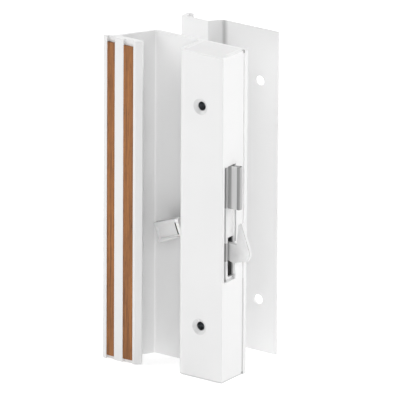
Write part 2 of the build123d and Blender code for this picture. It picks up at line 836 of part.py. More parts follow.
export_step(guide_carrier.part, "parts/guide_carrier.step")

# Rivets


def half_section_rivet(radius, head_radius, head_height, tail, grip):
    """Half section of a rivet: x is its radius and y runs from its flush tail to its head."""
    Polygon(
        (0, tail),
        (radius, tail),
        (radius, grip),
        (head_radius, grip),
        (head_radius - head_height, grip + head_height),
        (0, grip + head_height),
    )


plate_rivets = {
    "bracket_rivet_upper": bracket_rivet_places[0],
    "bracket_rivet_lower": bracket_rivet_places[1],
    "carrier_rivet_upper": carrier_rivet_places[0],
    "carrier_rivet_lower": carrier_rivet_places[1],
}
for rivet_name, (rivet_x, rivet_z) in plate_rivets.items():
    rivet_plane = Plane(origin=(rivet_x, 0, rivet_z), x_dir=(1, 0, 0), z_dir=(0, 0, -1))
    with BuildPart() as plate_rivet:
        with BuildSketch(rivet_plane):
            half_section_rivet(
                rivet_diameter / 2,
                rivet_head_diameter / 2,
                rivet_head_height,
                0,
                plate_thickness + bracket_thickness,
            )
        revolve(axis=Axis((rivet_x, 0, rivet_z), (0, 1, 0)))
    plate_rivet.part.label = rivet_name
    export_step(plate_rivet.part, f"parts/{rivet_name}.step")

for rivet_name, (rivet_x, rivet_z) in zip(("guide_rivet_upper", "guide_rivet_lower"), guide_rivet_places):
    rivet_plane = Plane(origin=(rivet_x, 0, rivet_z), x_dir=(1, 0, 0), z_dir=(0, 0, -1))
    with BuildPart() as guide_rivet:
        with BuildSketch(rivet_plane):
            half_section_rivet(
                guide_rivet_diameter / 2,
                guide_rivet_head_diameter / 2,
                guide_rivet_head_height,
                carrier_shelf_depth,
                guide_rear_depth + guide_sheet,
            )
        revolve(axis=Axis((rivet_x, 0, rivet_z), (0, 1, 0)))
    guide_rivet.part.label = rivet_name
    export_step(guide_rivet.part, f"parts/{rivet_name}.step")

spring_rivet_origin = (spring_rivet_offset, -latch_mid_depth, 0)
with BuildPart() as spring_rivet:
    with BuildSketch(Plane(origin=spring_rivet_origin, x_dir=(1, 0, 0), z_dir=(0, -1, 0))):
        half_section_rivet(
            spring_rivet_diameter / 2,
            spring_rivet_head_diameter / 2,
            spring_thickness,
            spring_top - spring_thickness,
            bracket_top,
        )
    revolve(axis=Axis(spring_rivet_origin, (0, 0, 1)))
spring_rivet.part.label = "spring_rivet"
export_step(spring_rivet.part, "parts/spring_rivet.step")

# Exterior finger pull: a flange on the door's outer face, a set-back panel and a curled lip

flange_corner = (-exterior_flange_left, door_thickness)
panel_right = exterior_flange_left + exterior_web_run
panel_left = panel_right + exterior_panel_width
panel_y = door_thickness - exterior_set_back
lip_y = panel_y + exterior_lip_height
with BuildPart() as exterior_pull:
    with BuildSketch(end_plane):
        with BuildLine():
            FilletPolyline(
                (exterior_flange_right, door_thickness),
                flange_corner,
                (-panel_right, panel_y),
                (-panel_left, panel_y),
                (-panel_left, lip_y),
                (-panel_left + exterior_lip_return, lip_y),
                radius=(
                    exterior_bend_radius,
                    exterior_panel_radius,
                    exterior_panel_radius,
                    exterior_lip_radius,
                ),
            )
            offset(amount=exterior_thickness, side=Side.RIGHT)
        make_face()
    extrude(amount=overall_height)
    with BuildSketch(Plane.XZ.offset(-door_thickness)):
        with Locations(*screw_places):
            Circle(exterior_hole_diameter / 2)
    extrude(amount=-exterior_thickness, mode=Mode.SUBTRACT)
exterior_pull.part.label = "exterior_pull"
export_step(exterior_pull.part, "parts/exterior_pull.step")
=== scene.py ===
"""Finishes the latch handle set of a sliding patio door and sets up its studio.

Metres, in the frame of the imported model: X towards the hook, Y through the door to the
outside, and Z up.
"""

from math import cos, radians, sin

import bmesh
import bpy
from bpy.props import FloatProperty, FloatVectorProperty, IntProperty, PointerProperty
from mathutils import Matrix, Vector


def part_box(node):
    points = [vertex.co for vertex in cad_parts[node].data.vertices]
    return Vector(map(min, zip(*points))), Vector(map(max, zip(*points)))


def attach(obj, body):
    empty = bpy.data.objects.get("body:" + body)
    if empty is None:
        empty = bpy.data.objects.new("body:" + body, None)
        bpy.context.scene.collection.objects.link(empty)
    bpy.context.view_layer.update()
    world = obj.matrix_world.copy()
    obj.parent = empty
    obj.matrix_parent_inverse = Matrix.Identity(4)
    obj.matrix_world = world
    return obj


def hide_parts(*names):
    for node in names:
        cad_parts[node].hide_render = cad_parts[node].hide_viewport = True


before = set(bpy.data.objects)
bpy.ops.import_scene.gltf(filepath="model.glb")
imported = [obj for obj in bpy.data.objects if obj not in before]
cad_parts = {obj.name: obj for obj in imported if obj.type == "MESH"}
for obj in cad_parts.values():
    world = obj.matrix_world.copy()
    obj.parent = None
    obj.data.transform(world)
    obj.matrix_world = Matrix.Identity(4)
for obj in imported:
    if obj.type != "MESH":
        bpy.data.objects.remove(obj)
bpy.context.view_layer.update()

bl_info = {
    "name": "Patio door latch handle",
    "version": (1, 0, 0),
    "blender": (4, 5, 0),
    "location": "View3D > Sidebar > Latch handle",
    "description": "Finishes the pieces of a sliding patio door latch handle set",
    "category": "Object",
}


MILLIMETRES_PER_METRE = 1000
WHITE = (1.0, 1.0, 1.0, 1.0)

# Sockets of a Mix node that mixes colours
MIX_AMOUNT, MIX_GROUND, MIX_LAYER, MIX_RESULT = 0, 6, 7, 2

# Where a pattern starts and ends in its noise: a relief takes all of it, pores its peaks
WHOLE_NOISE = {"start": 0.0, "end": 1.0}
OPEN_PORES = {"start": 0.58, "end": 0.7}

# Edges that turn further than this are rounded, in this many segments
SHARP_EDGE = radians(35)
ROUNDING_SEGMENTS = 2

# Triangles that turn less than this, in radians, are one face, and points nearer than this, in
# metres, are one point
FLAT_EDGE = radians(0.6)
SAME_POINT = 1e-6


def linear(colour):
    """Linear RGBA of an sRGB hex colour."""
    channels = [int(colour[start : start + 2], 16) / 255 for start in (1, 3, 5)]
    curve = [c / 12.92 if c <= 0.04045 else ((c + 0.055) / 1.055) ** 2.4 for c in channels]
    return (*curve, 1.0)


def colour_property(name, description, default):
    """A colour that a user can pick, given by its sRGB hex."""
    return FloatVectorProperty(
        name=name,
        description=description,
        default=linear(default),
        subtype="COLOR",
        size=4,
        min=0.0,
        max=1.0,
    )


def length_property(name, description, millimetres):
    """A small length that a user can change, given in millimetres."""
    return FloatProperty(
        name=name,
        description=description,
        default=millimetres / MILLIMETRES_PER_METRE,
        min=0.0,
        soft_max=0.01,
        precision=5,
        subtype="DISTANCE",
        unit="LENGTH",
    )


def distance_property(name, description, metres):
    """A distance in the studio that a user can change."""
    return FloatProperty(
        name=name, description=description, default=metres, subtype="DISTANCE", unit="LENGTH"
    )


def angle_property(name, description, degrees):
    """An angle that a user can change, given in degrees."""
    return FloatProperty(
        name=name,
        description=description,
        default=radians(degrees),
        subtype="ANGLE",
        unit="ROTATION",
    )


def power_property(name, description, watts):
    """The power of a lamp that a user can change."""
    return FloatProperty(name=name, description=description, default=watts, unit="POWER")


class FinishColours(bpy.types.PropertyGroup):
    """Colours of the finishes."""

    powder_white: colour_property(
        "Powder coat", "White of the powder coated aluminium", "#E6E6E6"
    )
    # Painted light: a whiter copy of the powder coat, for the finger pull
    finger_pull_white: colour_property(
        "Finger pull coat", "Purer white of the powder coated finger pull", "#F4F4F4"
    )
    moulded_white: colour_property("Moulded white", "White of the moulded end caps", "#EBEBEB")
    # Painted shade: a greyer copy of the moulded white, for the thumb tab
    tab_white: colour_property("Tab white", "Greyer white of the moulded thumb tab", "#D4D4D4")
    wood_light: colour_property("Wood, light", "Light grain of the wood strips", "#B0743F")
    wood_dark: colour_property("Wood, dark", "Dark grain of the wood strips", "#6E4423")
    wood_pore: colour_property("Wood, pores", "Open pores of the wood strips", "#452812")
    hook_steel: colour_property("Hook steel", "Plated steel of the hook", "#FAFAFA")
    guide_steel: colour_property(
        "Guide steel", "Bright sheet of the guide beside the hook", "#FAFAFA"
    )
    zinc: colour_property("Zinc plate", "Zinc plate on the pieces inside the housing", "#B9BDC0")
    spring_steel: colour_property("Spring steel", "Tempered spring steel", "#777A80")
    bronze: colour_property("Bronze", "Sintered bronze of the bush", "#B98F5C")


class EdgeSizes(bpy.types.PropertyGroup):
    """Radii that the finishes leave on the edges."""

    coated_edge: length_property(
        "Coated edge", "Radius that powder coat gives a sawn or punched edge", 0.3
    )
    sheet_edge: length_property(
        "Sheet edge", "Radius of the tumbled edge of stamped sheet", 0.15
    )
    moulded_edge: length_property("Moulded edge", "Radius of the moulded pieces' edges", 0.25)
    wood_edge: length_property(
        "Wood edge", "Radius of the sanded edges of the wood strips", 0.12
    )


class RivetSizes(bpy.types.PropertyGroup):
    """Sizes of the rivets in the back plate, in the guide and in the spring."""

    plate_shank: length_property("Plate shank", "Radius of a back plate rivet's shank", 1.7)
    plate_head: length_property("Plate head", "Radius of a back plate rivet's head", 3.1)
    plate_head_height: length_property(
        "Plate head height", "Height of a back plate rivet's head", 1.2
    )
    guide_shank: length_property("Guide shank", "Radius of a guide rivet's shank", 1.5)
    guide_head: length_property("Guide head", "Radius of a guide rivet's head", 2.7)
    guide_head_height: length_property(
        "Guide head height", "Height of a guide rivet's head", 0.9
    )
    spring_shank: length_property("Spring shank", "Radius of the spring rivet's shank", 1.2)
    spring_head: length_property("Spring head", "Radius of the spring rivet's head", 1.8)
    spring_head_height: length_property(
        "Spring head height", "Height of the spring rivet's head", 0.5
    )
    sides: IntProperty(
        name="Sides", description="Number of sides round a rivet", default=40, min=12, max=96
    )


class StudioSettings(bpy.types.PropertyGroup):
    """Camera, lights and floor."""

    azimuth: angle_property("Azimuth", "Direction of the camera round the handle", 35.176)
    elevation: angle_property("Elevation", "Height of the camera above the horizon", 18.821)
    roll: angle_property("Roll", "Turn of the camera about its own axis", 0.321)
    distance: distance_property("Distance", "Distance of the camera", 8.0)
    aim_left: distance_property(
        "Aim left", "How far the camera aims left of the housing's foot", 0.03334
    )
    aim_up: distance_property(
        "Aim up", "How far the camera aims above the housing's foot", 0.00847
    )
    focal_length: FloatProperty(
        name="Focal length",
        description="Focal length of the camera in millimetres",
        default=993.6,
        unit="CAMERA",
    )
    front_power: power_property("Front light", "Power of the soft box by the camera", 22.3)
    left_power: power_property("Left light", "Power of the soft box on the left", 34.5)
    right_power: power_property("Right light", "Power of the soft box behind the hook", 41.0)
    back_power: power_property("Back light", "Power of the soft box behind the pull", 20.5)
    soft_box_width: distance_property("Soft box width", "Width of the four soft boxes", 1.6)
    soft_box_distance: distance_property(
        "Soft box distance", "Distance of the four soft boxes", 2.5
    )
    room_light: FloatProperty(
        name="Room light", description="Strength of the even light of the room", default=0.05
    )
    floor_glow: FloatProperty(
        name="Floor glow",
        description="Light that the pale floor gives back by itself",
        default=0.62,
    )
    floor_reach: distance_property(
        "Floor reach", "How far the floor goes to each side of the handle", 12.0
    )


def add_node(tree, kind, links=None, values=None, **settings):
    """Adds a node to a tree with its settings, the links into it and the values of its sockets."""
    node = tree.nodes.new(kind)
    for name, value in settings.items():
        setattr(node, name, value)
    for socket, value in (values or {}).items():
        node.inputs[socket].default_value = value
    for socket, source in (links or {}).items():
        tree.links.new(source, node.inputs[socket])
    return node


def pattern(tree, place, size, along=None, low=0.0, high=1.0, start=0.3, end=0.7, **noise):
    """Noise turned to values from low to high, between its own values start and end.

    Its size is in millimetres, and along the handle it may be drawn out to another one.
    """
    repeats = [MILLIMETRES_PER_METRE / length for length in (size, size, along or size)]
    drawn = add_node(tree, "ShaderNodeMapping", {"Vector": place}, {"Scale": repeats})
    # Streaks are a little rougher than an even pattern
    fineness = {"Detail": 3.0, "Roughness": 0.55} if along else {"Detail": 2.0, "Roughness": 0.5}
    cloud = add_node(
        tree,
        "ShaderNodeTexNoise",
        {"Vector": drawn.outputs["Vector"]},
        {"Scale": 1.0, **fineness, **noise},
    )
    return add_node(
        tree,
        "ShaderNodeMapRange",
        {"Value": cloud.outputs["Fac"]},
        {"From Min": start, "From Max": end, "To Min": low, "To Max": high},
    ).outputs["Result"]


def mask(tree, *steps):
    """1 where every step's value is past its end, 0 where one is before its start."""
    rises = [
        add_node(
            tree, "ShaderNodeMapRange", {"Value": value}, {"From Min": start, "From Max": end}
        ).outputs["Result"]
        for value, start, end in steps
    ]
    together = rises[0]
    for rise in rises[1:]:
        together = add_node(
            tree, "ShaderNodeMath", {0: together, 1: rise}, operation="MULTIPLY"
        ).outputs["Value"]
    return together


def inside(tree, place, fade, **bounds):
    """1 inside a box and 0 outside, from its fade and its bounds by axis in millimetres."""
    along = add_node(tree, "ShaderNodeSeparateXYZ", {"Vector": place}).outputs
    steps = []
    for axis, (low, high) in bounds.items():
        for start, end in ((low, low + fade), (high, high - fade)):
            steps.append(
                (along[axis], start / MILLIMETRES_PER_METRE, end / MILLIMETRES_PER_METRE)
            )
    return mask(tree, *steps)


def facing(tree, axis, start, end):
    """1 where the surface faces along an axis, as its normal's part in it passes start and end."""
    normal = add_node(tree, "ShaderNodeTexCoord").outputs["Normal"]
    shares = add_node(tree, "ShaderNodeSeparateXYZ", {"Vector": normal}).outputs
    return mask(tree, (shares[axis], start, end))


def shaded(colour, share):
    """A colour with its light brought to a share, which may be over 1."""
    return (*[channel * share for channel in colour[:3]], 1.0)


def painted(tree, shader, ground, *layers):
    """Gives a shader a ground colour under layers, each an amount and a colour."""
    links, values = {}, {MIX_GROUND: ground}
    for amount, colour in layers:
        mixed = add_node(
            tree,
            "ShaderNodeMix",
            {**links, MIX_AMOUNT: amount},
            {**values, MIX_LAYER: colour},
            data_type="RGBA",
        ).outputs[MIX_RESULT]
        links, values = {MIX_GROUND: mixed}, {}
    tree.links.new(mixed, shader.inputs["Base Color"])


def marked(tree, shader, colour, *marks):
    """Gives a shader a colour with lighter and darker marks, each an amount and its share."""
    painted(tree, shader, colour, *[(amount, shaded(colour, share)) for amount, share in marks])


def textured(tree, shader, roughness, height, depth, strength):
    """Gives a shader its roughness and its relief, whose depth is in millimetres."""
    bump = add_node(
        tree,
        "ShaderNodeBump",
        {"Height": height},
        {"Strength": strength, "Distance": depth / MILLIMETRES_PER_METRE},
    )
    tree.links.new(roughness, shader.inputs["Roughness"])
    tree.links.new(bump.outputs["Normal"], shader.inputs["Normal"])


def new_finish(name, **values):
    """A material with its shader, and the Object coordinates that its patterns read."""
    material = bpy.data.materials.new(name)
    material.use_nodes = True
    tree = material.node_tree
    tree.nodes.clear()
    shader = add_node(tree, "ShaderNodeBsdfPrincipled")
    for socket, value in values.items():
        shader.inputs[socket.replace("_", " ")].default_value = value
    add_node(tree, "ShaderNodeOutputMaterial", {"Surface": shader.outputs["BSDF"]})
    place = add_node(tree, "ShaderNodeTexCoord").outputs["Object"]
    return material, tree, shader, place


def powder_coated_aluminium(name, white, marks):
    """Polyester powder baked on extruded aluminium: satin, with a faint orange peel."""
    material, tree, shader, place = new_finish(name, IOR=1.5)
    # Film thickness varies over some 45 mm, which changes the white by a hair
    film = pattern(tree, place, 45)
    marked(tree, shader, white, (film, 0.975), *marks(tree, place))
    # Orange peel is about 1.5 mm from crest to crest
    dull_crests = pattern(tree, place, 1.5, low=0.36, high=0.46)
    peel = pattern(tree, place, 1.5, **WHOLE_NOISE)
    textured(tree, shader, dull_crests, peel, 0.02, 0.35)
    return material


def pull_painted_light_and_shade(tree, place):
    """Where light and shade are painted on the pull and its housing, and the white's share."""
    # Painted shade in the two countersunk holes in the housing's face, 12.2 mm across, each
    # 84.15 mm from the middle
    screw_height = 0.08415
    along = add_node(tree, "ShaderNodeSeparateXYZ", {"Vector": place}).outputs
    height = add_node(
        tree, "ShaderNodeMath", {0: along["Z"]}, operation="ABSOLUTE"
    ).outputs["Value"]
    rise = add_node(
        tree, "ShaderNodeMath", {0: height}, {1: screw_height}, operation="SUBTRACT"
    ).outputs["Value"]
    across = add_node(tree, "ShaderNodeCombineXYZ", {"X": along["X"], "Y": rise}).outputs["Vector"]
    radius = add_node(
        tree, "ShaderNodeVectorMath", {0: across}, operation="LENGTH"
    ).outputs["Value"]
    countersink_shade = mask(
        tree,
        (radius, 0.0062, 0.00605),
        (along["Y"], -0.027, -0.0275),
    )
    # Places that several marks share
    wall = {"X": (15.8, 17.7), "Y": (-22.5, -19.2)}
    groove = {"X": (18.6, 20.8), "Y": (-3.6, -2.9)}
    groove_end = {"X": (18.2, 20.4), "Y": (-5.2, -2.4)}
    whole_height = (-130.0, 130.0)
    return (
        # Painted light on every face that looks up, the sawn upper ends among them
        (facing(tree, "Z", 0.7, 0.9), 1.12),
        (countersink_shade, 0.87),
        # Painted shade on the inner wall beside the guide and beside the hook
        (inside(tree, place, 0.3, Z=(7.6, 38.8), **wall), 0.5),
        (inside(tree, place, 0.3, Z=(-33.3, -19.0), **wall), 0.42),
        # Painted shade on the plate behind the hook
        (inside(tree, place, 0.4, X=(-16.0, 16.0), Y=(-5.0, -1.5), Z=(-60.0, -24.0)), 0.4),
        # Painted light in the groove along the housing, less of it in its lower third
        (inside(tree, place, 0.1, Z=whole_height, **groove), 1.25),
        (inside(tree, place, 0.1, Z=(-130.0, -50.0), **groove), 1.06),
        # Painted light on the plate between the head and the housing, and on the window's jamb
        (inside(tree, place, 0.2, X=(-60.0, -20.2), Y=(-4.0, -2.4), Z=whole_height), 1.12),
        (inside(tree, place, 0.1, X=(16.0, 20.1), Y=(-14.6, -12.7), Z=(-44.0, 8.0)), 1.25),
        # Painted shade on the arris of the window between the guide and the hook
        (inside(tree, place, 0.1, X=(19.0, 20.2), Y=(-13.3, -12.4), Z=(-19.0, 8.0)), 0.6),
        # Painted shade in the two open ends of the groove
        (inside(tree, place, 0.2, Z=(121.8, 124.3), **groove_end), 0.62),
        (inside(tree, place, 0.2, Z=(-124.3, -121.8), **groove_end), 0.62),
        # Painted shade along the foot of the housing
        (inside(tree, place, 0.1, X=(-20.4, 20.4), Y=(-30.4, -3.6), Z=(-125.0, -122.8)), 0.76),
    )


def finger_pull_painted_shade(tree, place):
    """Where shade is painted on the coat of the finger pull, and the white's share there."""
    along = add_node(tree, "ShaderNodeSeparateXYZ", {"Vector": place}).outputs
    # Painted shade in the inner corner of the fold, 32 mm left of the middle
    fold = mask(
        tree,
        (along["X"], -0.034, -0.0322),
        (along["X"], -0.028, -0.0318),
        (along["Y"], 0.0458, 0.0454),
    )
    return (
        # A touch of painted shade on the flange that lies on the door, from 33 mm left of the
        # middle
        (mask(tree, (along["X"], -0.0335, -0.033)), 0.9),
        # Painted shade on the web between flange and lip, and more of it in the fold
        (inside(tree, place, 0.6, X=(-40.4, -32.8), Y=(34.0, 45.6)), 0.88),
        (fold, 0.56),
        # Painted shade on the side that faces out of the door
        (facing(tree, "Y", 0.05, 0.2), 0.8),
    )


def pull_coat(colours):
    """White coat of the pull and its housing."""
    return powder_coated_aluminium(
        "white_powder_coated_aluminium", colours.powder_white, pull_painted_light_and_shade
    )


def finger_pull_coat(colours):
    """White coat of the finger pull, made whiter as painted light."""
    return powder_coated_aluminium(
        "lit_white_powder_coated_aluminium", colours.finger_pull_white, finger_pull_painted_shade
    )


def stained_hardwood(colours):
    """Straight-grained hardwood, planed, stained and sealed: satin, with short open pores."""
    material, tree, shader, place = new_finish("stained_sealed_hardwood", IOR=1.45)
    # Growth bands some 2.5 mm wide wander over the length of the strip
    bands = pattern(
        tree, place, 2.4, 150, high=0.5, start=0.34, end=0.66, Distortion=0.8, Detail=2.0
    )
    # Fibres are finer than 0.3 mm; drawn at 0.6 mm so that they show
    fibres = pattern(tree, place, 0.6, 16, high=0.5, start=0.35, end=0.65)
    grain = add_node(
        tree, "ShaderNodeMath", {0: bands, 1: fibres}, operation="ADD"
    ).outputs["Value"]
    # Pores are slits 0.1 mm wide and 3 mm long; drawn at 0.4 mm
    pores = pattern(tree, place, 0.4, 5, high=0.75, start=0.6, end=0.7)
    painted(
        tree, shader, colours.wood_dark, (grain, colours.wood_light), (pores, colours.wood_pore)
    )
    dull_fibres = pattern(tree, place, 0.6, 16, low=0.5, high=0.65)
    raised_fibres = pattern(tree, place, 0.6, 16, **WHOLE_NOISE)
    textured(tree, shader, dull_fibres, raised_fibres, 0.05, 0.5)
    return material


def moulded_abs(name, white, marks=None):
    """ABS, injection moulded in a spark-eroded mould: satin, with a fine even texture."""
    material, tree, shader, place = new_finish(
        name, IOR=1.53, Subsurface_Weight=0.05, Subsurface_Scale=0.001
    )
    # The melt's flow clouds the white over some 18 mm
    flow = pattern(tree, place, 18)
    marked(tree, shader, white, (flow, 0.97), *(marks(tree, place) if marks else ()))
    # Spark texture is about 0.1 mm; drawn at 0.5 mm so that it shows
    dull_pits = pattern(tree, place, 0.5, low=0.4, high=0.52)
    spark = pattern(tree, place, 0.5, **WHOLE_NOISE)
    textured(tree, shader, dull_pits, spark, 0.01, 0.4)
    return material


def cap_abs(colours):
    """White ABS of the end caps."""
    return moulded_abs("white_moulded_abs", colours.moulded_white)


def tab_painted_light_and_shade(tree, place):
    """Where light and shade are painted on the thumb tab's plastic, and the white's share there.
    """
    # The lever arm leaves the pivot, 12 mm below the middle, at 21.6 degrees to the level
    droop = radians(21.6)
    pivot_drop = 0.012
    along_arm = add_node(
        tree,
        "ShaderNodeMapping",
        {"Vector": place},
        {
            "Rotation": (0.0, droop, 0.0),
            "Location": (pivot_drop * sin(droop), 0.0, pivot_drop * cos(droop)),
        },
    ).outputs["Vector"]
    return (
        # Painted light on the collar, which ends 26.4 mm from the pivot
        (inside(tree, along_arm, 0.1, X=(-26.45, -20.0), Z=(-5.0, 20.0)), 1.35),
        # Painted shade in the slit beside it
        (inside(tree, along_arm, 0.04, X=(-27.76, -26.34), Z=(0.9, 9.96)), 0.04),
    )


def tab_abs(colours):
    """White ABS of the thumb tab, made greyer as painted shade."""
    return moulded_abs("shaded_white_moulded_abs", colours.tab_white, tab_painted_light_and_shade)


def tumbled_steel(colours):
    """Stamped steel, tumbled and bright zinc plated: soft gloss, duller on the sheared edge."""
    material, tree, shader, place = new_finish("tumbled_plated_steel", Metallic=1.0)
    along = add_node(tree, "ShaderNodeSeparateXYZ", {"Vector": place}).outputs
    # The sheared edge runs from the front face, 18 mm from the door, to the rear face at 15 mm
    behind_front = (along["Y"], -0.01798, -0.01788)
    before_rear = (along["Y"], -0.01502, -0.01512)
    marked(
        tree,
        shader,
        colours.hook_steel,
        (pattern(tree, place, 6), 0.95),
        # Painted shade in the slot of the housing's side, 16 to 19 mm from the middle
        (mask(tree, (along["X"], 0.0192, 0.0158)), 0.42),
        (mask(tree, behind_front, before_rear), 0.84),
        # The edge's first 0.6 mm are rolled over and dark
        (mask(tree, behind_front, (along["Y"], -0.0173, -0.0175)), 0.55),
    )
    # Tumbling marks are about 0.4 mm across
    dull_marks = pattern(tree, place, 0.4, low=0.6, high=0.75)
    dents = pattern(tree, place, 0.4, **WHOLE_NOISE)
    textured(tree, shader, dull_marks, dents, 0.006, 0.5)
    return material


def bright_rolled_steel(colours):
    """Rolled and folded stainless strip, with painted shade in the housing, fold and nose."""
    material, tree, shader, place = new_finish("bright_rolled_stainless_steel", Metallic=0.85)
    across = add_node(tree, "ShaderNodeSeparateXYZ", {"Vector": place}).outputs["X"]
    marked(
        tree,
        shader,
        colours.guide_steel,
        # Rolling lines are about 0.1 mm wide; drawn at 0.8 mm so that they show
        (pattern(tree, place, 0.8, 80, start=0.4, end=0.6), 0.92),
        # Painted shade up to the housing's side, 20 mm from the middle
        (mask(tree, (across, 0.0208, 0.0194)), 0.54),
        # Painted shade in the fold, from 25.2 to 27.1 mm, and again on the nose
        (mask(tree, (across, 0.0246, 0.0254)), 0.39),
        (mask(tree, (across, 0.0268, 0.0272)), 0.58),
    )
    dull_lines = pattern(tree, place, 0.8, 80, low=0.65, high=0.8)
    lines = pattern(tree, place, 0.8, 80, **WHOLE_NOISE)
    textured(tree, shader, dull_lines, lines, 0.01, 0.4)
    return material


def zinc_plated_steel(colours):
    """Mild steel, bent or turned and zinc plated: a cool grey with faint clouds."""
    material, tree, shader, place = new_finish("zinc_plated_mild_steel", Metallic=1.0)
    # The plate clouds over some 4 mm
    marked(tree, shader, colours.zinc, (pattern(tree, place, 4, Detail=4.0), 0.85))
    dull_clouds = pattern(tree, place, 4, low=0.3, high=0.42, Detail=4.0)
    # The plate's grain is finer than 0.1 mm; drawn at 0.6 mm so that it shows
    grain = pattern(tree, place, 0.6, **WHOLE_NOISE)
    textured(tree, shader, dull_clouds, grain, 0.005, 0.4)
    return material


def tempered_spring_steel(colours):
    """Spring strip, rolled and tempered: dark grey with rolling lines."""
    material, tree, shader, place = new_finish("tempered_spring_steel", Metallic=1.0)
    # Rolling lines are about 0.1 mm wide; drawn at 0.5 mm so that they show
    marked(tree, shader, colours.spring_steel, (pattern(tree, place, 0.5, 20), 0.8))
    dull_lines = pattern(tree, place, 0.5, 20, low=0.26, high=0.36)
    tree.links.new(dull_lines, shader.inputs["Roughness"])
    return material


def sintered_bronze(colours):
    """Bronze powder, pressed and sintered: dull, with fine open pores that hold oil."""
    material, tree, shader, place = new_finish("sintered_bronze", Metallic=1.0)
    # Pores are about 0.1 mm; drawn at 0.4 mm so that they show
    pores = pattern(tree, place, 0.4, high=0.8, **OPEN_PORES)
    marked(tree, shader, colours.bronze, (pores, 0.3))
    dull_pores = pattern(tree, place, 0.4, low=0.4, high=0.56, **OPEN_PORES)
    textured(tree, shader, dull_pores, pores, -0.02, 0.6)
    return material


FINISHES = {
    "white_aluminium": pull_coat,
    "finger_pull_aluminium": finger_pull_coat,
    "wood": stained_hardwood,
    "white_plastic": cap_abs,
    "tab_plastic": tab_abs,
    "hook_steel": tumbled_steel,
    "guide_steel": bright_rolled_steel,
    "bright_steel": zinc_plated_steel,
    "spring_steel": tempered_spring_steel,
    "bronze": sintered_bronze,
}
made_finishes = {}


def finish_of(name):
    """A finish by its name, made once; most names are the model's material slots."""
    if name not in made_finishes:
        made_finishes[name] = FINISHES[name](bpy.context.scene.latch_handle_colours)
    return made_finishes[name]


def plain_mesh(rough, name):
    """The evaluated shape of an object as a plain mesh object at the origin, in its place."""
    graph = bpy.context.evaluated_depsgraph_get()
    mesh = bpy.data.meshes.new_from_object(rough.evaluated_get(graph), depsgraph=graph)
    mesh.name = name
    rough_mesh = rough.data
    bpy.data.objects.remove(rough)
    bpy.data.meshes.remove(rough_mesh)
    piece = bpy.data.objects.new(name, mesh)
    bpy.context.scene.collection.objects.link(piece)
    return piece


def seat(piece, slot, body, *nodes, finish=None):
    """Gives a piece its finish and its body, in place of the CAD solids that it stands for."""
    piece.data.materials.clear()
    piece.data.materials.append(finish_of(finish or slot))
    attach(piece, body)
    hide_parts(*nodes)


def rounded_copy(node, name, edge):
    """A copy of a CAD solid whose sharp edges are rounded as the finish leaves them."""
    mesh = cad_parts[node].data.copy()
    if "custom_normal" in mesh.attributes:
        mesh.attributes.remove(mesh.attributes["custom_normal"])
    shape = bmesh.new()
    shape.from_mesh(mesh)
    bmesh.ops.remove_doubles(shape, verts=shape.verts, dist=SAME_POINT)
    bmesh.ops.dissolve_limit(
        shape, angle_limit=FLAT_EDGE, verts=shape.verts, edges=shape.edges
    )
    for face in shape.faces:
        face.smooth = True
    shape.to_mesh(mesh)
    shape.free()
    rough = bpy.data.objects.new(f"{name}_rough", mesh)
    bpy.context.scene.collection.objects.link(rough)
    rounding = rough.modifiers.new("rounded_edges", "BEVEL")
    rounding.width = edge
    rounding.segments = ROUNDING_SEGMENTS
    rounding.limit_method = "ANGLE"
    rounding.angle_limit = SHARP_EDGE
    rounding.use_clamp_overlap = False
    rounding.miter_outer = "MITER_ARC"
    shading = rough.modifiers.new("even_shading", "WEIGHTED_NORMAL")
    shading.keep_sharp = True
    return plain_mesh(rough, name)


def carry_over(slot, *nodes):
    """Gives CAD solids whose shape is right their finish."""
    for node in nodes:
        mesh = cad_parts[node].data
        mesh.materials.clear()
        mesh.materials.append(finish_of(slot))


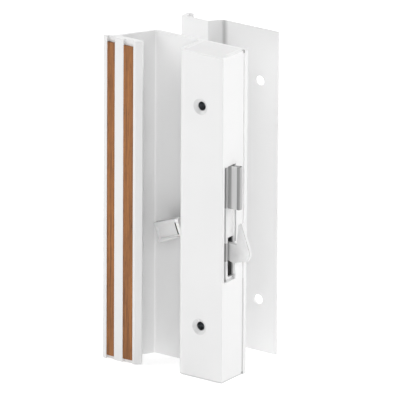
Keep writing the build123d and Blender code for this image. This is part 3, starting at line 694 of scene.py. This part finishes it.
def rivet_tree():
    """Geometry Nodes that set a bevelled rivet at each point, where its grip meets its head."""
    tree = bpy.data.node_groups.new("bevelled_rivets", "GeometryNodeTree")
    sockets = tree.interface
    sockets.new_socket("Places", in_out="INPUT", socket_type="NodeSocketGeometry")
    for name in ("Shank Radius", "Head Radius", "Head Height", "Grip"):
        size = sockets.new_socket(name, in_out="INPUT", socket_type="NodeSocketFloat")
        size.subtype = "DISTANCE"
    sockets.new_socket("Sides", in_out="INPUT", socket_type="NodeSocketInt")
    sockets.new_socket("Direction", in_out="INPUT", socket_type="NodeSocketVector")
    sockets.new_socket("Finish", in_out="INPUT", socket_type="NodeSocketMaterial")
    sockets.new_socket("Rivets", in_out="OUTPUT", socket_type="NodeSocketGeometry")
    given = add_node(tree, "NodeGroupInput").outputs
    crown = add_node(
        tree,
        "ShaderNodeMath",
        {0: given["Head Radius"], 1: given["Head Height"]},
        operation="SUBTRACT",
    )
    head = add_node(
        tree,
        "GeometryNodeMeshCone",
        {
            "Vertices": given["Sides"],
            "Radius Bottom": given["Head Radius"],
            "Radius Top": crown.outputs["Value"],
            "Depth": given["Head Height"],
        },
    )
    shank = add_node(
        tree,
        "GeometryNodeMeshCylinder",
        {
            "Vertices": given["Sides"],
            "Radius": given["Shank Radius"],
            "Depth": given["Grip"],
        },
    )
    shank_centre = add_node(
        tree, "ShaderNodeMath", {0: given["Grip"]}, {1: -0.5}, operation="MULTIPLY"
    )
    shank_place = add_node(tree, "ShaderNodeCombineXYZ", {"Z": shank_centre.outputs["Value"]})
    moved_shank = add_node(
        tree,
        "GeometryNodeTransform",
        {"Geometry": shank.outputs["Mesh"], "Translation": shank_place.outputs["Vector"]},
    )
    rivet = add_node(tree, "GeometryNodeJoinGeometry")
    for part in (moved_shank.outputs["Geometry"], head.outputs["Mesh"]):
        tree.links.new(part, rivet.inputs["Geometry"])
    turned = add_node(
        tree, "FunctionNodeAlignEulerToVector", {"Vector": given["Direction"]}, axis="Z"
    )
    placed = add_node(
        tree,
        "GeometryNodeInstanceOnPoints",
        {
            "Points": given["Places"],
            "Instance": rivet.outputs["Geometry"],
            "Rotation": turned.outputs["Rotation"],
        },
    )
    real = add_node(
        tree, "GeometryNodeRealizeInstances", {"Geometry": placed.outputs["Instances"]}
    )
    finished = add_node(
        tree,
        "GeometryNodeSetMaterial",
        {"Geometry": real.outputs["Geometry"], "Material": given["Finish"]},
    )
    add_node(tree, "NodeGroupOutput", {"Rivets": finished.outputs["Geometry"]})
    return tree


def rivet_set(name, nodes, towards, shank, head, head_height):
    """A set of equal rivets as one plain mesh, where the boxes of the CAD rivets are."""
    boxes = [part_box(node) for node in nodes]
    towards = Vector(towards)
    tops = [(low + high) / 2 + (high - low) / 2 * towards for low, high in boxes]
    low, high = boxes[0]
    length = abs((high - low).dot(towards))
    mesh = bpy.data.meshes.new(f"{name}_places")
    mesh.from_pydata([top - towards * head_height for top in tops], [], [])
    rough = bpy.data.objects.new(f"{name}_rough", mesh)
    bpy.context.scene.collection.objects.link(rough)
    tree = bpy.data.node_groups.get("bevelled_rivets") or rivet_tree()
    values = {
        "Shank Radius": shank,
        "Head Radius": head,
        "Head Height": head_height,
        "Grip": length - head_height,
        "Sides": bpy.context.scene.latch_handle_rivets.sides,
        "Direction": towards,
        "Finish": finish_of("bright_steel"),
    }
    rivets = rough.modifiers.new("rivets", "NODES")
    rivets.node_group = tree
    for socket in tree.interface.items_tree:
        if socket.name in values:
            rivets[socket.identifier] = values[socket.name]
    seat(plain_mesh(rough, name), "bright_steel", "handle", *nodes)


class PullExtrusionOperator(bpy.types.Operator):
    """Extruded pull with its back plate, flanges, slanted web and head"""

    bl_idname = "latch_handle.extruded_pull"
    bl_label = "Extruded pull"

    def execute(self, context):
        edge = context.scene.latch_handle_edges.coated_edge
        piece = rounded_copy("pull_extrusion", "extruded_pull", edge)
        seat(piece, "white_aluminium", "handle", "pull_extrusion")
        return {"FINISHED"}


class WoodStripsOperator(bpy.types.Operator):
    """Two wood strips let into the head of the pull"""

    bl_idname = "latch_handle.wood_strips"
    bl_label = "Wood strips"

    def execute(self, context):
        edge = context.scene.latch_handle_edges.wood_edge
        for side in ("left", "right"):
            piece = rounded_copy(f"wood_strip_{side}", f"hardwood_strip_{side}", edge)
            seat(piece, "wood", "handle", f"wood_strip_{side}")
        return {"FINISHED"}


class HousingCoverOperator(bpy.types.Operator):
    """Boxed cover of the housing, with its countersunk holes and its window"""

    bl_idname = "latch_handle.housing_cover"
    bl_label = "Housing cover"

    def execute(self, context):
        edge = context.scene.latch_handle_edges.coated_edge
        piece = rounded_copy("housing_cover", "coated_cover", edge)
        seat(piece, "white_aluminium", "handle", "housing_cover")
        return {"FINISHED"}


class EndCapsOperator(bpy.types.Operator):
    """Moulded caps that close the two ends of the housing"""

    bl_idname = "latch_handle.end_caps"
    bl_label = "End caps"

    def execute(self, context):
        edge = context.scene.latch_handle_edges.moulded_edge
        for end in ("top", "bottom"):
            piece = rounded_copy(f"{end}_end_cap", f"moulded_{end}_cap", edge)
            seat(piece, "white_plastic", "handle", f"{end}_end_cap")
        return {"FINISHED"}


class HookOperator(bpy.types.Operator):
    """Latch stamping with its hook and lever arm"""

    bl_idname = "latch_handle.hook"
    bl_label = "Hook and lever"

    def execute(self, context):
        edge = context.scene.latch_handle_edges.sheet_edge
        piece = rounded_copy("latch_plate", "hook_stamping", edge)
        seat(piece, "hook_steel", "latch", "latch_plate")
        return {"FINISHED"}


class ThumbTabOperator(bpy.types.Operator):
    """Moulded thumb tab over the lever arm"""

    bl_idname = "latch_handle.thumb_tab"
    bl_label = "Thumb tab"

    def execute(self, context):
        edge = context.scene.latch_handle_edges.moulded_edge
        piece = rounded_copy("thumb_tab", "moulded_tab", edge)
        seat(piece, "white_plastic", "latch", "thumb_tab", finish="tab_plastic")
        return {"FINISHED"}


class KeeperGuideOperator(bpy.types.Operator):
    """Folded guide of bright sheet beside the hook"""

    bl_idname = "latch_handle.keeper_guide"
    bl_label = "Keeper guide"

    def execute(self, context):
        edge = context.scene.latch_handle_edges.sheet_edge
        piece = rounded_copy("keeper_guide", "folded_guide", edge)
        seat(piece, "guide_steel", "handle", "keeper_guide")
        return {"FINISHED"}


class InnerPiecesOperator(bpy.types.Operator):
    """Posts, pivot, bracket, carrier and spring inside the housing"""

    bl_idname = "latch_handle.inner_pieces"
    bl_label = "Inner pieces"

    def execute(self, context):
        edge = context.scene.latch_handle_edges.sheet_edge
        for node, name in (("pivot_bracket", "bent_bracket"), ("guide_carrier", "bent_carrier")):
            seat(rounded_copy(node, name, edge), "bright_steel", "handle", node)
        carry_over(
            "bright_steel",
            "screw_post_upper",
            "screw_post_lower",
            "pivot_pin",
            "rear_spacer",
            "front_spacer",
        )
        carry_over("spring_steel", "retaining_clip", "detent_spring")
        carry_over("bronze", "hub_bush")
        return {"FINISHED"}


class RivetsOperator(bpy.types.Operator):
    """Rivets of the bracket, the carrier, the guide and the spring"""

    bl_idname = "latch_handle.rivets"
    bl_label = "Rivets"

    def execute(self, context):
        sizes = context.scene.latch_handle_rivets
        bracket_rivets = ("bracket_rivet_upper", "bracket_rivet_lower")
        carrier_rivets = ("carrier_rivet_upper", "carrier_rivet_lower")
        guide_rivets = ("guide_rivet_upper", "guide_rivet_lower")
        for kind, nodes, towards in (
            ("plate", bracket_rivets + carrier_rivets, (0, -1, 0)),
            ("guide", guide_rivets, (0, -1, 0)),
            ("spring", ("spring_rivet",), (0, 0, 1)),
        ):
            shank, head, head_height = (
                getattr(sizes, f"{kind}_{size}") for size in ("shank", "head", "head_height")
            )
            rivet_set(f"{kind}_rivets", nodes, towards, shank, head, head_height)
        return {"FINISHED"}


class ExteriorPullOperator(bpy.types.Operator):
    """Bent exterior finger pull"""

    bl_idname = "latch_handle.exterior_pull"
    bl_label = "Exterior finger pull"

    def execute(self, context):
        edge = context.scene.latch_handle_edges.coated_edge
        piece = rounded_copy("exterior_pull", "bent_finger_pull", edge)
        finish = "finger_pull_aluminium"
        seat(piece, "white_aluminium", "handle", "exterior_pull", finish=finish)
        return {"FINISHED"}


def direction(azimuth, elevation):
    """The direction to a light or the camera, from straight in front of the handle."""
    level = cos(elevation)
    return Vector((sin(azimuth) * level, -cos(azimuth) * level, sin(elevation)))


def add_floor(scene, settings):
    """One wide sheet of pale matt board under the handle."""
    mesh = bpy.data.meshes.new("floor")
    reach = settings.floor_reach
    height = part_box("pull_extrusion")[0].z
    corners = [(-reach, -reach), (reach, -reach), (reach, reach), (-reach, reach)]
    mesh.from_pydata([(x, y, height) for x, y in corners], [], [(0, 1, 2, 3)])
    floor = bpy.data.objects.new("floor", mesh)
    scene.collection.objects.link(floor)
    board, tree, shader, place = new_finish(
        "pale_matt_board",
        Roughness=0.9,
        Emission_Color=WHITE,
        Emission_Strength=settings.floor_glow,
    )
    # Pulp varies over some 300 mm
    marked(tree, shader, linear("#D2D2D2"), (pattern(tree, place, 300, **WHOLE_NOISE), 0.99))
    mesh.materials.append(board)


def add_room(scene, settings):
    """Even light of a white room."""
    world = bpy.data.worlds.new("white_room")
    world.use_nodes = True
    tree = world.node_tree
    tree.nodes.clear()
    room = add_node(
        tree, "ShaderNodeBackground", values={"Color": WHITE, "Strength": settings.room_light}
    )
    add_node(tree, "ShaderNodeOutputWorld", {"Surface": room.outputs["Background"]})
    scene.world = world


def add_soft_boxes(scene, settings):
    """Four large soft boxes: by the camera, on the left, behind the hook and behind the pull."""
    for name, azimuth, elevation, power in (
        ("front_soft_box", 35, 25, settings.front_power),
        ("left_soft_box", -60, 35, settings.left_power),
        ("right_soft_box", 132, 38, settings.right_power),
        ("back_soft_box", -150, 55, settings.back_power),
    ):
        towards = direction(radians(azimuth), radians(elevation))
        light = bpy.data.lights.new(name, "AREA")
        light.shape = "SQUARE"
        light.size = settings.soft_box_width
        light.energy = power
        lamp = bpy.data.objects.new(name, light)
        lamp.location = towards * settings.soft_box_distance
        lamp.rotation_mode = "QUATERNION"
        lamp.rotation_quaternion = towards.to_track_quat("Z", "Y")
        scene.collection.objects.link(lamp)


def add_camera(scene, settings):
    """The camera at the photograph's viewing angle."""
    back = direction(settings.azimuth, settings.elevation)
    level = Vector((cos(settings.azimuth), sin(settings.azimuth), 0))
    upright = back.cross(level)
    right = level * cos(settings.roll) + upright * sin(settings.roll)
    up = upright * cos(settings.roll) - level * sin(settings.roll)
    # The foot of the housing's side, 20 mm from the middle, shows right of the picture's middle
    housing_foot = Vector((0.02, 0, 0))
    aim = housing_foot - right * settings.aim_left + up * settings.aim_up
    lens = bpy.data.cameras.new("camera")
    lens.lens = settings.focal_length
    lens.sensor_width = 36
    lens.clip_end = 100
    camera = bpy.data.objects.new("camera", lens)
    turned = Matrix((right, up, back)).transposed().to_4x4()
    camera.matrix_world = Matrix.Translation(aim + back * settings.distance) @ turned
    scene.collection.objects.link(camera)
    scene.camera = camera


class StudioOperator(bpy.types.Operator):
    """Pale floor, soft studio light and the camera"""

    bl_idname = "latch_handle.studio"
    bl_label = "Studio"

    def execute(self, context):
        settings = context.scene.latch_handle_studio
        context.scene.view_settings.view_transform = "Standard"
        for addition in (add_floor, add_room, add_soft_boxes, add_camera):
            addition(context.scene, settings)
        return {"FINISHED"}


OPERATORS = (
    PullExtrusionOperator,
    WoodStripsOperator,
    HousingCoverOperator,
    EndCapsOperator,
    HookOperator,
    ThumbTabOperator,
    KeeperGuideOperator,
    InnerPiecesOperator,
    RivetsOperator,
    ExteriorPullOperator,
    StudioOperator,
)
GROUPS = {
    "latch_handle_colours": FinishColours,
    "latch_handle_edges": EdgeSizes,
    "latch_handle_rivets": RivetSizes,
    "latch_handle_studio": StudioSettings,
}


class LatchHandlePanel(bpy.types.Panel):
    """Lists the pieces of the handle set and their settings"""

    bl_idname = "VIEW3D_PT_latch_handle"
    bl_label = "Latch handle"
    bl_space_type = "VIEW_3D"
    bl_region_type = "UI"
    bl_category = "Latch handle"

    def draw(self, context):
        layout = self.layout
        for operator in OPERATORS:
            layout.operator(operator.bl_idname)
        for name, group in GROUPS.items():
            settings = getattr(context.scene, name)
            box = layout.box()
            for setting in group.__annotations__:
                box.prop(settings, setting)


def register():
    """Registers the settings, the operators and the panel."""
    for group in GROUPS.values():
        bpy.utils.register_class(group)
    for name, group in GROUPS.items():
        setattr(bpy.types.Scene, name, PointerProperty(type=group))
    for operator in OPERATORS:
        bpy.utils.register_class(operator)
    bpy.utils.register_class(LatchHandlePanel)


def unregister():
    """Removes the panel, the operators and the settings."""
    bpy.utils.unregister_class(LatchHandlePanel)
    for operator in reversed(OPERATORS):
        bpy.utils.unregister_class(operator)
    for name, group in GROUPS.items():
        delattr(bpy.types.Scene, name)
        bpy.utils.unregister_class(group)


def main():
    register()
    for operator in OPERATORS:
        getattr(bpy.ops.latch_handle, operator.bl_idname.split(".")[1])()


if __name__ == "__main__":
    main()
